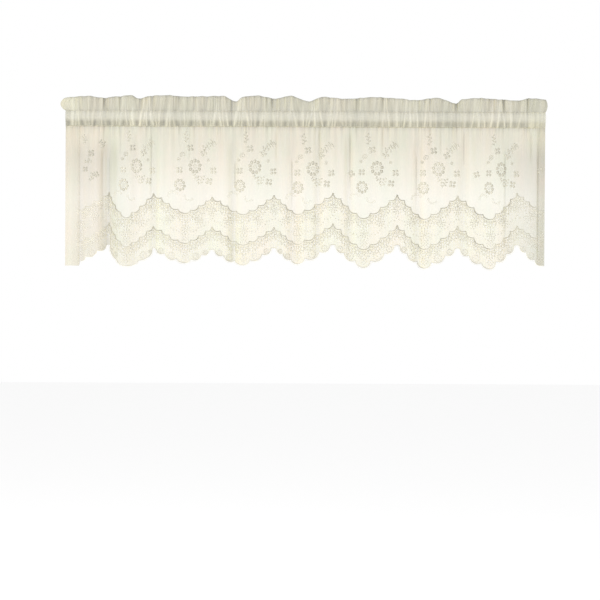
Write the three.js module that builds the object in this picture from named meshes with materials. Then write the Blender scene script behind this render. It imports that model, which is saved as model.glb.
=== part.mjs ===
// Window valance in sheer cream lace, hanging as it does on a straight rod: a gathered heading with
// a ruffle above an empty rod pocket, and a softly folded panel with a zigzag hem of small scallops.
// Millimetres. The origin is on the rod line at mid-length, +X along the rod, -Y to the room, +Z up.
import * as THREE from 'three';

// Driving sizes of the whole valance
const LEFT_EDGE = -495;
const RIGHT_EDGE = 498;
const UPPER_STITCH = 9.8;
const LOWER_STITCH = -22.3;
const SEAM_GAP = 0.3;
const LOWEST_POINT = -314;

// Cloth as it lies: one layer in the panel and in each pocket wall, two where they are sewn together
const LAYER = 1.2;
const DOUBLE_LAYER = 2.4;

// Gathers of the heading, as ridges and hollows that take turns along the rod
const GATHER_STEPS = 142;
const GATHER_DEPTH = 1.1;
const RUFFLE_GATHER_DEPTH = 2.4;
const GATHER_DRIFT = 2.0;

// Header ruffle: height of its top edge and how far that edge leans to the window, along the rod
const HEADER = [
  { x: -495, top: 36, lean: -2 },
  { x: -478, top: 38, lean: -5 },
  { x: -450, top: 40, lean: -4 },
  { x: -416, top: 37, lean: 5 },
  { x: -389, top: 39, lean: -4 },
  { x: -359, top: 42, lean: -5 },
  { x: -346, top: 36, lean: 5 },
  { x: -315, top: 41, lean: -3 },
  { x: -286, top: 42, lean: -6 },
  { x: -250, top: 40, lean: 1 },
  { x: -215, top: 40, lean: -4 },
  { x: -170, top: 41, lean: -5 },
  { x: -142, top: 31, lean: 7 },
  { x: -128, top: 40, lean: -2 },
  { x: -101, top: 42, lean: -6 },
  { x: -59, top: 37, lean: 5 },
  { x: -31, top: 42, lean: -5 },
  { x: 8, top: 32, lean: 6 },
  { x: 37, top: 40, lean: -4 },
  { x: 87, top: 37, lean: 3 },
  { x: 145, top: 40, lean: -5 },
  { x: 190, top: 38, lean: -2 },
  { x: 228, top: 35, lean: 5 },
  { x: 273, top: 39, lean: -5 },
  { x: 315, top: 29, lean: 7 },
  { x: 326, top: 37, lean: -2 },
  { x: 358, top: 39, lean: -5 },
  { x: 412, top: 37, lean: 4 },
  { x: 437, top: 34, lean: -3 },
  { x: 467, top: 39, lean: -5 },
  { x: 498, top: 37, lean: -2 },
];

// How far the ruffle's ends stand out past the pocket, at mid-height and at the top edge
const END_FLARE = [
  { side: 'left', middle: -10, top: -2, steps: 3 },
  { side: 'right', middle: 4, top: 1, steps: 3 },
];

// Rod pocket in section: half its depth, outside, at each height
const POCKET = [
  { z: UPPER_STITCH, half: DOUBLE_LAYER / 2 },
  { z: 5.5, half: 8.6 },
  { z: -1, half: 10.8 },
  { z: -8, half: 8.9 },
  { z: -15, half: 3.9 },
  { z: LOWER_STITCH, half: DOUBLE_LAYER / 2 },
];
const POCKET_INNER_TOP = 8.8;
const POCKET_INNER_FOOT = -19.3;

// Panel folds: depth to the window (minus is a ridge to the room), half width, and the share of the
// depth just under the pocket and at the hem
const FOLDS = [
  { x: -480, depth: -3, half: 14, top: 0.6, hem: 1 },
  { x: -461, depth: 4, half: 8, top: 0.4, hem: 1 },
  { x: -436, depth: -5, half: 20, top: 0.5, hem: 1 },
  { x: -407, depth: 17, half: 12, top: 0.35, hem: 1 },
  { x: -372, depth: -7, half: 20, top: 0.4, hem: 1 },
  { x: -313, depth: 6, half: 11, top: 0.6, hem: 0.9 },
  { x: -268, depth: -5, half: 30, top: 0.5, hem: 1 },
  { x: -205, depth: 3, half: 18, top: 0.4, hem: 0.9 },
  { x: -172, depth: -4, half: 18, top: 0.6, hem: 0.9 },
  { x: -146, depth: 9, half: 10, top: 0.5, hem: 0.9 },
  { x: -95, depth: -5, half: 30, top: 0.5, hem: 1 },
  { x: -24, depth: 7, half: 11, top: 0.6, hem: 1 },
  { x: 3, depth: -4, half: 10, top: 0.4, hem: 0.8 },
  { x: 29, depth: 6, half: 9, top: 0.6, hem: 0.8 },
  { x: 62, depth: -4, half: 18, top: 0.4, hem: 1 },
  { x: 93, depth: 6, half: 10, top: 0.7, hem: 0.8 },
  { x: 155, depth: -5, half: 34, top: 0.4, hem: 1 },
  { x: 234, depth: 8, half: 11, top: 0.8, hem: 0.8 },
  { x: 283, depth: -5, half: 26, top: 0.4, hem: 1 },
  { x: 329, depth: 6, half: 10, top: 0.8, hem: 0.7 },
  { x: 382, depth: -5, half: 28, top: 0.4, hem: 1 },
  { x: 424, depth: 6, half: 13, top: 0.4, hem: 1 },
  { x: 462, depth: -4, half: 16, top: 0.4, hem: 1 },
  { x: 498, depth: 7, half: 16, top: 0.3, hem: 1 },
];
const FOLD_START = 0.2;

// Hem from left to right: its lows and its peaks by turns. squeeze draws a flank's scallops to its
// peak, where a fold hides part of the cloth
const ZIGZAG = [
  { x: -464, z: -302, squeeze: 1 },
  { x: -405, z: -266, squeeze: 1 },
  { x: -368, z: -311, squeeze: 2.5 },
  { x: -313, z: -273, squeeze: 1 },
  { x: -246, z: -304, squeeze: 1 },
  { x: -191, z: -276, squeeze: 1 },
  { x: -126, z: -308, squeeze: 1 },
  { x: -63, z: -272, squeeze: 1 },
  { x: -14, z: -305, squeeze: 1 },
  { x: 59, z: -265, squeeze: 1 },
  { x: 123, z: -312, squeeze: 1 },
  { x: 192, z: -265, squeeze: 1 },
  { x: 249, z: -313, squeeze: 1 },
  { x: 317, z: -271, squeeze: 1 },
  { x: 385, z: -314, squeeze: 1 },
  { x: 440, z: -264, squeeze: 1 },
  { x: 490, z: -307, squeeze: 1 },
];
const SIDE_HEM_FOOT = -311;

// Small arch at a hem's peak, between the first scallops on its two sides
const ARCH_HALF = 6;
const ARCH_HEIGHT = 2.6;
const ARCH_STEPS = 2;

// Cusps between the scallops of a flank, as shares of its run and of its drop from the arch
const RIGHT_FLANK = [
  { run: 0.3, drop: 0.32 },
  { run: 0.71, drop: 0.69 },
];
const LEFT_FLANK = [
  { run: 0.32, drop: 0.33 },
  { run: 0.78, drop: 0.68 },
];
const SCALLOP_BULGE = 0.26;
const STEPS_PER_SCALLOP = 4;

// Rows of the panel from the pocket to the hem, as shares of its height
const PANEL_ROWS = [0, 0.1, 0.26, 0.46, 0.66, 0.84, 1];
const PANEL_TOP = LOWER_STITCH - SEAM_GAP;

const clamp01 = (t) => Math.min(1, Math.max(0, t));
const ease = (t) => clamp01(t) ** 2 * (3 - 2 * clamp01(t));
const mix = (a, b, t) => a + (b - a) * t;

// Smooth value of one column of a table whose rows are in order along x
function along(rows, x, column) {
  const next = rows.findIndex((row) => row.x >= x);
  if (next === 0) return rows[0][column];
  if (next < 0) return rows.at(-1)[column];
  const [a, b] = [rows[next - 1], rows[next]];
  return mix(a[column], b[column], ease((x - a.x) / (b.x - a.x)));
}

// One closed solid from its corners and its triangles
function solid(corners, triangles) {
  const geometry = new THREE.BufferGeometry();
  geometry.setAttribute('position', new THREE.Float32BufferAttribute(corners.flat(), 3));
  geometry.setIndex(triangles.flat());
  geometry.computeVertexNormals();
  return geometry;
}

// Heading: place along the rod and gather at a station
function gatherX(step) {
  const fade = Math.min(1, step / 4, (GATHER_STEPS - step) / 4);
  const drift = Math.sin(0.9 * step) + 0.7 * Math.sin(0.37 * step + 1);
  return mix(LEFT_EDGE, RIGHT_EDGE, step / GATHER_STEPS) + GATHER_DRIFT * drift * fade;
}

function gather(step) {
  const strength = 0.68 + 0.32 * Math.sin(1.7 * step + 0.5);
  return (step % 2 === 0 ? 1 : -1) * strength;
}

function endFlare(step, level) {
  const [left, right] = END_FLARE;
  const fromLeft = ease(1 - step / left.steps);
  const fromRight = ease(1 - (GATHER_STEPS - step) / right.steps);
  return left[level] * fromLeft + right[level] * fromRight;
}

// Outer outline of the heading's section, up the back and down the front, with x for its flared ends
function outerSection(step) {
  const x = gatherX(step);
  const ripple = gather(step) * GATHER_DEPTH;
  const ruffle = gather(step) * RUFFLE_GATHER_DEPTH;
  const top = along(HEADER, x, 'top');
  const lean = along(HEADER, x, 'lean');
  const header = [
    { x: x + endFlare(step, 'middle'), y: (lean + ruffle) * 0.45, z: mix(UPPER_STITCH, top, 0.5) },
    { x: x + endFlare(step, 'top'), y: lean + ruffle, z: top },
  ];
  const side = (facing) => [
    ...POCKET.toReversed().map(({ z, half }) => [x, facing * half + ripple, z]),
    ...header.map((p) => [p.x, p.y + (facing * DOUBLE_LAYER) / 2, p.z]),
  ];
  return [...side(1), ...side(-1).toReversed()];
}

// Inner outline of the pocket, in the same turning sense
function innerSection(step) {
  const x = gatherX(step);
  const ripple = gather(step) * GATHER_DEPTH;
  const open = POCKET.slice(1, -1);
  const side = (facing) => open.map(({ z, half }) => [x, facing * (half - LAYER) + ripple, z]);
  return [
    [x, ripple, POCKET_INNER_FOOT],
    ...side(1).toReversed(),
    [x, ripple, POCKET_INNER_TOP],
    ...side(-1),
  ];
}

// Quads between the same outline at two neighbouring stations
function skin(first, count, stride, stations, outward) {
  const triangles = [];
  for (let s = 0; s < stations - 1; s += 1) {
    for (let i = 0; i < count; i += 1) {
      const a = first + s * stride + i;
      const b = first + s * stride + ((i + 1) % count);
      const [c, d] = [a + stride, b + stride];
      triangles.push(outward ? [a, b, c] : [a, c, b]);
      triangles.push(outward ? [b, d, c] : [b, c, d]);
    }
  }
  return triangles;
}

// The heading: a sleeve with open ends and the ruffle on top of it
function heading() {
  const corners = [];
  const stations = GATHER_STEPS + 1;
  let outerCount = 0;
  let innerCount = 0;
  for (let step = 0; step < stations; step += 1) {
    const outer = outerSection(step);
    const inner = innerSection(step);
    corners.push(...outer, ...inner);
    outerCount = outer.length;
    innerCount = inner.length;
  }
  const stride = outerCount + innerCount;
  const triangles = [
    ...skin(0, outerCount, stride, stations, true),
    ...skin(outerCount, innerCount, stride, stations, false),
  ];
  const flat = (list) => list.map(([, y, z]) => new THREE.Vector2(y, z));
  for (const [step, turned] of [[0, false], [GATHER_STEPS, true]]) {
    const first = step * stride;
    const outer = corners.slice(first, first + outerCount);
    const inner = corners.slice(first + outerCount, first + stride);
    for (const [a, b, c] of THREE.ShapeUtils.triangulateShape(flat(outer), [flat(inner)])) {
      const face = [first + a, first + b, first + c];
      triangles.push(turned ? face : face.toReversed());
    }
  }
  return solid(corners, triangles);
}

// Depth of the panel's folds, which grow from the pocket's seam down
function foldDepth(x, z) {
  const fall = clamp01((PANEL_TOP - z) / (PANEL_TOP - LOWEST_POINT));
  const depth = FOLDS.reduce((sum, f) => {
    const away = (x - f.x) / f.half;
    return sum + f.depth * mix(f.top, f.hem, fall) * Math.exp(-away * away);
  }, 0);
  return depth * ease(fall / FOLD_START);
}

// Points along a flank from its peak down to its low, without the peak itself: half of the arch, then
// the scallops
function flank(peak, low, cusps) {
  const squeeze = Math.max(peak.squeeze, low.squeeze);
  const down = Math.sign(low.x - peak.x);
  const points = [];
  for (let i = 1; i <= ARCH_STEPS; i += 1) {
    const turn = (Math.PI / 2) * (i / ARCH_STEPS);
    const x = peak.x + (down * ARCH_HALF * Math.sin(turn)) / squeeze;
    points.push({ x, z: peak.z - ARCH_HEIGHT * (1 - Math.cos(turn)), even: x });
  }
  const foot = points.at(-1);
  const corners = cusps.map(({ run, drop }) => ({
    x: mix(foot.x, low.x, run ** squeeze),
    z: mix(foot.z, low.z, drop),
  }));
  let from = foot;
  for (const to of corners) {
    const [runX, runZ] = [to.x - from.x, to.z - from.z];
    for (let i = 1; i <= STEPS_PER_SCALLOP; i += 1) {
      const t = i / STEPS_PER_SCALLOP;
      const bulge = (SCALLOP_BULGE / squeeze) * 4 * t * (1 - t);
      const even = from.x + runX * t;
      points.push({ x: even + down * runZ * bulge, z: from.z + runZ * t - down * runX * bulge, even });
    }
    from = to;
  }
  for (let i = 1; i <= STEPS_PER_SCALLOP; i += 1) {
    const turn = (Math.PI / 2) * (i / STEPS_PER_SCALLOP);
    const x = mix(low.x, from.x, Math.cos(turn));
    points.push({ x, z: mix(from.z, low.z, Math.sin(turn)), even: x });
  }
  return points;
}

// The whole lower edge from the left side to the right side
function hemLine() {
  const first = ZIGZAG[0];
  const last = ZIGZAG.at(-1);
  const points = [
    { x: LEFT_EDGE, z: SIDE_HEM_FOOT, even: LEFT_EDGE },
    { x: mix(LEFT_EDGE, first.x, 0.5), z: SIDE_HEM_FOOT, even: mix(LEFT_EDGE, first.x, 0.5) },
    { x: first.x - 2, z: SIDE_HEM_FOOT, even: first.x - 2 },
    { x: first.x, z: first.z, even: first.x },
  ];
  for (let i = 1; i < ZIGZAG.length; i += 1) {
    const [a, b] = [ZIGZAG[i - 1], ZIGZAG[i]];
    if (a.z > b.z) {
      points.push(...flank(a, b, RIGHT_FLANK));
    } else {
      const up = flank(b, a, LEFT_FLANK).toReversed().slice(1);
      points.push(...up, { x: b.x, z: b.z, even: b.x });
    }
  }
  points.push({ x: RIGHT_EDGE, z: last.z, even: RIGHT_EDGE });
  return points;
}

// The panel: one layer of cloth on its folds, closed by a rim all round
function panel() {
  const hem = hemLine();
  const corners = [];
  for (const side of [-1, 1]) {
    for (const share of PANEL_ROWS) {
      for (const point of hem) {
        const x = mix(point.even, point.x, share ** 6);
        const z = mix(PANEL_TOP, point.z, share);
        const slope = foldDepth(x + 0.5, z) - foldDepth(x - 0.5, z);
        const length = Math.hypot(1, slope);
        const shift = (side * LAYER) / 2;
        corners.push([x - (slope / length) * shift, foldDepth(x, z) + shift / length, z]);
      }
    }
  }
  const columns = hem.length;
  const layer = columns * PANEL_ROWS.length;
  const triangles = [];
  const quad = (a, b, c, d) => triangles.push([a, b, c], [a, c, d]);
  for (let row = 0; row < PANEL_ROWS.length - 1; row += 1) {
    for (let column = 0; column < columns - 1; column += 1) {
      const a = row * columns + column;
      const [b, c, d] = [a + columns, a + columns + 1, a + 1];
      quad(a, b, c, d);
      quad(layer + a, layer + d, layer + c, layer + b);
    }
  }
  const last = layer - columns;
  for (let column = 0; column < columns - 1; column += 1) {
    quad(column, column + 1, layer + column + 1, layer + column);
    quad(last + column, layer + last + column, layer + last + column + 1, last + column + 1);
  }
  for (let row = 0; row < PANEL_ROWS.length - 1; row += 1) {
    const left = row * columns;
    const right = left + columns - 1;
    quad(left, layer + left, layer + left + columns, left + columns);
    quad(right, right + columns, layer + right + columns, layer + right);
  }
  return solid(corners, triangles);
}

// Each piece with its own cloth finish
function piece(name, geometry, colour) {
  const material = new THREE.MeshStandardMaterial({ color: colour, roughness: 0.9, metalness: 0 });
  const mesh = new THREE.Mesh(geometry, material);
  mesh.name = name;
  return mesh;
}

const valance = new THREE.Group();
valance.add(piece('heading', heading(), 0xd8d4bf));
valance.add(piece('panel', panel(), 0xeee7d9));
export default valance;
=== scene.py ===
from collections import namedtuple
from types import SimpleNamespace as Sizes

import bpy
import numpy as np
from mathutils import Matrix, Vector


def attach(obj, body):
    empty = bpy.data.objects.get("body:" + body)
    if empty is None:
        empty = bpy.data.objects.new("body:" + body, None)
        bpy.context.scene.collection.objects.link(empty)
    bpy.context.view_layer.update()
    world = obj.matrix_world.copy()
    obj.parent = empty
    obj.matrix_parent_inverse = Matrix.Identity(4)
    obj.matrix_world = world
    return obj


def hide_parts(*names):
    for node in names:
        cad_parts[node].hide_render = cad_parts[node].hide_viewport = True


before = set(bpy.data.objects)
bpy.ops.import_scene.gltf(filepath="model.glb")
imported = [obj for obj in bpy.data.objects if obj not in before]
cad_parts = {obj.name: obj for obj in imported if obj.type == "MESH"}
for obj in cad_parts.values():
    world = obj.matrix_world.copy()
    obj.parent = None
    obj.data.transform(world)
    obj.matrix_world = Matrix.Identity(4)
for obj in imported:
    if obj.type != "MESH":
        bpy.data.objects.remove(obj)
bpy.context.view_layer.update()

MM = 0.001
ROOT = "root"


def table(fields, *rows):
    """Rows whose values have names."""
    return list(map(namedtuple("Row", fields)._make, rows))


def mix(a, b, t):
    return a + (b - a) * t


def ease(t):
    t = np.clip(t, 0, 1)
    return t * t * (3 - 2 * t)


def straight(rows, place, column=1):
    """A table's column, on straight lines between its rows."""
    rows = np.array(rows, float)
    return np.interp(place, rows[:, 0], rows[:, column])


def eased(rows, x):
    """Smooth values of a table's columns, as in the solids."""
    places, *columns = np.array(rows, float).T
    x = np.clip(x, places[0], places[-1])
    after = np.clip(np.searchsorted(places, x), 1, len(places) - 1)
    share = (x - places[after - 1]) / (places[after] - places[after - 1])
    return [mix(column[after - 1], column[after], ease(share)) for column in columns]


def rounded(rows, place):
    """Values of smooth curves through a table's columns."""
    rows = np.array(rows, float)
    places, values = rows[:, 0], rows[:, 1:]
    after = min(max(int(np.searchsorted(places, place)), 1), len(places) - 1)
    before = after - 1
    span = places[after] - places[before]
    t = (place - places[before]) / span
    slopes = np.gradient(values, places, axis=0) * span
    leave = (2 * t**3 - 3 * t**2 + 1) * values[before] + (t**3 - 2 * t**2 + t) * slopes[before]
    return leave + (3 * t**2 - 2 * t**3) * values[after] + (t**3 - t**2) * slopes[after]


def add_object(name, data, place=(0, 0, 0), rotation=None):
    made = bpy.data.objects.new(name, data)
    made.location = place
    if rotation is not None:
        made.rotation_mode = "QUATERNION"
        made.rotation_quaternion = rotation
    bpy.context.collection.objects.link(made)
    return made


# The photo's side, the middle of its rod line, and the size of a pixel on the cloth
PHOTO = Sizes(side=600, rod_x=304, rod_y=116.5, pixel=2.07 * MM)


def make_camera():
    middle = PHOTO.side / 2
    distance, sensor, roll = 4, 36, 0.0046
    rotation = Matrix.Rotation(np.pi / 2, 3, "X") @ Matrix.Rotation(roll, 3, "Z")
    data = bpy.data.cameras.new("camera")
    data.sensor_width = sensor
    data.lens = sensor * distance / (PHOTO.side * PHOTO.pixel)
    data.clip_end = 60
    across = (middle - PHOTO.rod_x) * PHOTO.pixel
    up = (PHOTO.rod_y - middle) * PHOTO.pixel
    place = (across, -distance, up)
    bpy.context.scene.camera = add_object("camera", data, place, rotation.to_quaternion())


# Driving sizes in millimetres, as in the solids
LEFT_EDGE = -495
RIGHT_EDGE = 498
UPPER_STITCH = 9.8
LOWER_STITCH = -22.3
PANEL_TOP = -22.6
LOWEST_POINT = -314
SIDE_HEM_FOOT = -311

# Gathers: how many ridges and hollows, how far they stray, and where that fades in
GATHER_STEPS = 142
GATHER_DRIFT = 2
GATHER_FADE = 4

# Ruffle: height of its top edge, and how far that edge leans to the window
HEADER = table(
    "x top lean",
    (-495, 36, -2), (-478, 38, -5), (-450, 40, -4), (-416, 37, 5), (-389, 39, -4), (-359, 42, -5),
    (-346, 36, 5), (-315, 41, -3), (-286, 42, -6), (-250, 40, 1), (-215, 40, -4), (-170, 41, -5),
    (-142, 31, 7), (-128, 40, -2), (-101, 42, -6), (-59, 37, 5), (-31, 42, -5), (8, 32, 6), (37, 40, -4),
    (87, 37, 3), (145, 40, -5), (190, 38, -2), (228, 35, 5), (273, 39, -5), (315, 29, 7), (326, 37, -2),
    (358, 39, -5), (412, 37, 4), (437, 34, -3), (467, 39, -5), (498, 37, -2),
)

# How far the ruffle's ends stand out past the pocket
LEFT_FLARE, RIGHT_FLARE = table("middle top steps", (-10, -2, 3), (4, 1, 3))

# Puckers of the ruffle: plus is a hollow, minus a puff. reach is how much of them runs down the pocket
PUCKERS = table(
    "x depth half reach",
    (-487, 1.5, 4, 0.2), (-466, -1.2, 5, 0), (-416, 3.2, 3, 0.9), (-403, -1.6, 5, 0.3), (-381, 1.4, 3, 0),
    (-342, 2.2, 3, 0.5), (-315, 2.2, 2.5, 0.2), (-306, -1.6, 5, 0.2), (-272, -1.6, 5, 0.2),
    (-262, 2, 3, 0.1), (-245, -1.3, 3, 0), (-214, -1.5, 4, 0.3), (-190, -1.2, 4, 0), (-181, 2, 3, 0),
    (-151, 3.6, 2.4, 0.9), (-68, 2.6, 2.6, 0.4), (-54, -1.4, 5, 0.2), (4, 2.4, 8, 0.3), (17, 2.4, 2, 0.9),
    (27, -1.8, 6, 0.2), (87, 2.4, 2.6, 0.6), (98, -1, 5, 0), (116, -1, 2.5, 0), (161, 1.6, 3, 0.2),
    (259, 1.8, 4, 0), (313, 3.6, 2.4, 0.9), (330, -1.6, 6, 0), (389, 1.8, 3.5, 0), (412, 2.6, 2, 1),
    (461, 2.6, 2, 1), (476, -1.2, 6, 0.2),
)
PUCKER = Sizes(at_stitch=0.4, rise=0.6, crease=1.5)

# Rod pocket by height: half its depth, relief of its ridges, how light it is in its hollows and on its
# ridges, and its share of thread. The hollows hold painted shade, deepest in the band below the rod, and
# the ridges a painted highlight
POCKET_WALL = table(
    "z half ridge hollow risen cover",
    (-22.3, 0.7, 1, 0.74, 1, 0.66), (-20.5, 1, 1.8, 0.62, 1.2, 0.75), (-17, 2.6, 2.4, 0.58, 1.23, 0.77),
    (-12, 5.6, 2.2, 0.6, 1.23, 0.75), (-8.5, 8.4, 1.6, 0.71, 1.2, 0.64), (-6, 9.7, 1.1, 0.76, 1.16, 0.6),
    (-1, 10.6, 0.9, 0.78, 1.16, 0.57), (5, 8.3, 1, 0.77, 1.16, 0.58), (8.2, 4, 1.2, 0.74, 1.1, 0.62),
    (9.8, 0.7, 1.2, 0.64, 0.98, 0.66),
)

# Panel folds, as in the solids: depth to the window, and its shares at the top and the hem
FOLDS = table(
    "x depth half top hem",
    (-480, -3, 14, 0.6, 1), (-461, 4, 8, 0.4, 1), (-436, -5, 20, 0.5, 1), (-407, 17, 12, 0.35, 1),
    (-372, -7, 20, 0.4, 1), (-313, 6, 11, 0.6, 0.9), (-268, -5, 30, 0.5, 1), (-205, 3, 18, 0.4, 0.9),
    (-172, -4, 18, 0.6, 0.9), (-146, 9, 10, 0.5, 0.9), (-95, -5, 30, 0.5, 1), (-24, 7, 11, 0.6, 1),
    (3, -4, 10, 0.4, 0.8), (29, 6, 9, 0.6, 0.8), (62, -4, 18, 0.4, 1), (93, 6, 10, 0.7, 0.8),
    (155, -5, 34, 0.4, 1), (234, 8, 11, 0.8, 0.8), (283, -5, 26, 0.4, 1), (329, 6, 10, 0.8, 0.7),
    (382, -5, 28, 0.4, 1), (424, 6, 13, 0.4, 1), (462, -4, 16, 0.4, 1), (498, 7, 16, 0.3, 1),
)
FOLD_START = 0.2

# Sharper creases that run down part of the panel only
CREASES = table(
    "x top foot depth half",
    (-464, -24, -300, 0.6, 3), (-447, -24, -110, 0.8, 3), (-418, -60, -250, 1.6, 2.6),
    (-405, -70, -230, 2, 1.6), (-381, -24, -90, 0.9, 1.6), (-350, -30, -90, 0.8, 1.6),
    (-317, -24, -180, 1.5, 1.5), (-238, -24, -110, 1, 2), (-144, -90, -160, 2, 1.4),
    (-59, -24, -110, 1.2, 1.5), (-26, -80, -200, 2, 1.5), (4, -150, -312, 1.4, 2.4),
    (30, -24, -110, 1.6, 1.5), (94, -24, -165, 2, 1.5), (161, -24, -85, 1, 1.5), (232, -70, -190, 2, 1.5),
    (282, -24, -90, 1, 1.5), (330, -24, -110, 1.8, 1.4), (416, -50, -300, 2, 2),
    (469, -24, -100, 1.4, 1.6), (484, -40, -305, 1.8, 2),
)
CREASE_START = 0.2
CREASE_END = 0.35

# Lows and peaks of the zigzag lines. squeeze draws scallops to the peak, where a fold hides cloth
TURNS = table(
    "x upper middle hem squeeze",
    (-464, -196, -262, -302, 1), (-405, -158, -221, -266, 1), (-368, -212, -272, -311, 2.5),
    (-313, -161, -229, -273, 1), (-246, -202, -264, -304, 1), (-191, -168, -230, -276, 1),
    (-126, -204, -267, -308, 1), (-63, -164, -230, -272, 1), (-14, -203, -265, -305, 1),
    (59, -159, -222, -265, 1), (123, -211, -275, -312, 1), (192, -162, -225, -265, 1),
    (249, -212, -274, -313, 1), (317, -163, -226, -271, 1), (385, -212, -273, -314, 1),
    (440, -157, -225, -264, 1), (490, -193, -255, -307, 1),
)

# Arch at a line's peaks, and squeeze and cusps of its falling and its rising flank, as shares
HEM_SHAPE, CORD_SHAPE = table(
    "arch_half arch_height squeezed falling rising",
    (6, 2.6, (1, 1), ((0.3, 0.32), (0.71, 0.69)), ((0.32, 0.33), (0.78, 0.68))),
    (
        0.8, 0.3, (0.45, 0),
        ((0.25, 0.21), (0.49, 0.5), (0.77, 0.79)), ((0.23, 0.22), (0.5, 0.52), (0.81, 0.78)),
    ),
)
SHAPE_OF = {"upper": CORD_SHAPE, "middle": CORD_SHAPE, "hem": HEM_SHAPE}
SCALLOP_BULGE = 0.26
ARCH_STEPS = 3

# Ring flower of each floral cluster, and a place for motifs that are in none
CLUSTERS = table(
    "x z width",
    (-348, -104, 0.85), (-227, -104, 1), (-103, -105, 1), (17, -108, 1), (150, -107, 1), (277, -108, 1),
    (407, -108, 0.82),
)
NO_CLUSTER = table("x z width", (0, 0, 1))[0]

# What a cluster holds, placed from its ring flower. tone is how pale a motif is
MOTIFS = table(
    "kind x z size turn tone",
    ("ring", 0, 0, 15, 0, 1), ("ring", -31, -39, 13, 20, 1.06), ("blossom", -10, 38, 6.8, 8, 1),
    ("blossom", 17, 28, 6.6, 30, 1.08), ("blossom", -32, -8, 6.6, 0, 1.06),
    ("blossom", 38, -9, 6.6, 5, 1.05), ("blossom", 29, -31, 6.8, -8, 1.05),
    ("sprig", -18, 49, 20, 12, 1.05), ("sprig", 8, -38, 18, -20, 1.1), ("leaves", 38, 42, 12, 38, 1.1),
    ("leaves", 22, 35, 7, 0, 1.1), ("leaves", 0, -26, 7, -35, 1.1), ("tendril", -25, 24, 6, 60, 1.04),
    ("tendril", -34, 15, 3.5, 200, 1.06), ("tendril", 27, 12, 3.5, 300, 1.08),
    ("spray", -45, -62, 10, 15, 1.22), ("spray", -12, -62, 9, 160, 1.22),
)

# Motifs outside the clusters: the left end's, drawn together in its folds, and others
LONE_MOTIFS = table(
    "kind x z size turn tone",
    ("blossom", -442, -78, 6.6, 8, 0.88), ("leaves", -424, -62, 11, -42, 0.92),
    ("sprig", -453, -58, 16, 25, 1), ("leaves", -447, -98, 7, 20, 0.88),
    ("blossom", -454, -111, 5.2, 0, 0.84), ("sprig", -443, -136, 18, -12, 0.84),
    ("blossom", -431, -122, 5.4, 30, 0.88), ("blossom", 488, -109, 6, 10, 1),
    ("blossom", 97, -118, 6.2, 30, 1), ("blossom", 356, -119, 6.2, 15, 1),
)


# Gathers
def end_fade(step):
    return np.minimum(1, np.minimum(step, GATHER_STEPS - step) / GATHER_FADE)


def gather_x(step):
    """Place along the rod of a gather, counted from the left end."""
    drift = np.sin(0.9 * step) + 0.7 * np.sin(0.37 * step + 1)
    return mix(LEFT_EDGE, RIGHT_EDGE, step / GATHER_STEPS) + GATHER_DRIFT * drift * end_fade(step)


def gather(step):
    """Depth of the gathers: main ridges, with finer ones between them."""
    strength = 0.68 + 0.32 * np.sin(1.7 * step + 0.5)
    main = np.cos(np.pi * step) * strength
    fine = np.sin(2.3 * np.pi * step + 2.1 * np.sin(0.43 * step))
    patch = 0.5 + 0.5 * np.sin(0.61 * step + 0.4 * np.sin(0.23 * step))
    return 0.8 * main + 0.42 * fine * patch


GATHER_SAMPLES = np.linspace(0, GATHER_STEPS, GATHER_STEPS * 8 + 1)
GATHER_PLACES = gather_x(GATHER_SAMPLES)


def gather_step(x):
    return np.interp(x, GATHER_PLACES, GATHER_SAMPLES)


# Ridges where the cloth is drawn together, and dents between them: half widths, height of the lesser
# ones, shift of the back's, and the heights where their slant starts and where it changes
RIDGE = Sizes(
    half=2.1, lesser_half=1.4, dent_half=2.2, lesser=0.75, phase=5, root=-6, knee=10, run=34,
)
Ridges = namedtuple("Ridges", "x slant strength dent half")


def plan_ridges():
    i = np.arange(1, GATHER_STEPS)
    is_main = i % 2 == 0
    between = np.sin(4.7 * i)
    slant = (3 * np.sin(0.9 * i) + 1.4 * np.sin(2.3 * i)) * end_fade(i)
    lesser = RIDGE.lesser * np.maximum(0, between)
    strength = np.where(is_main, 0.66 + 0.34 * np.sin(2.9 * i + 0.7), lesser)
    dent = np.where(is_main, 0, np.maximum(0, -between))
    half = np.where(between > 0, RIDGE.lesser_half, RIDGE.dent_half)
    half = np.where(is_main, RIDGE.half + 0.6 * np.sin(1.3 * i), half)
    return Ridges(gather_x(i), slant, strength, dent, half)


RIDGES = plan_ridges()


def ridge_relief(x, z, facing):
    """Ridges and dents along a row of the heading, from 0 to 1."""
    if z < RIDGE.knee:
        run = (z - RIDGE.root) / (RIDGE.knee - RIDGE.root)
    else:
        run = 1 + (z - RIDGE.knee) / RIDGE.run
    x = x + RIDGE.phase * (facing + 1) / 2
    away = (x[:, None] - RIDGES.x - RIDGES.slant * run) / RIDGES.half
    near = np.exp(-away * away)
    return (RIDGES.strength * near).max(axis=1), (RIDGES.dent * near).max(axis=1)


def puckers(x, share, into_pocket):
    """Depth of the puckers along a row, and how dark the painted shade in the thin crease of each hollow
    one is.
    """
    depth, crease = np.zeros_like(x), np.zeros_like(x)
    on_ruffle = mix(PUCKER.at_stitch, 1, share**PUCKER.rise)
    for pucker in PUCKERS:
        away = x - pucker.x
        deep = pucker.depth * (pucker.reach * share if into_pocket else on_ruffle)
        depth += deep * np.exp(-((away / pucker.half) ** 2))
        crease += max(deep - 1, 0) * np.exp(-((away / PUCKER.crease) ** 2))
    return depth, crease


def hollows(depth, reach):
    """How far each point of a row lies behind the mean of its neighbours."""
    width = 2 * reach + 1
    total = np.cumsum(np.pad(np.pad(depth, reach, mode="edge"), (1, 0)))
    return depth - (total[width:] - total[:-width]) / width


STREAK_SEED = 11
STREAK_PITCH = 1.7
STREAK_PLACES = np.arange(LEFT_EDGE - 20, RIGHT_EDGE + 20, STREAK_PITCH)
STREAKS = np.random.default_rng(STREAK_SEED).uniform(-1, 1, (4, STREAK_PLACES.size))


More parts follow.
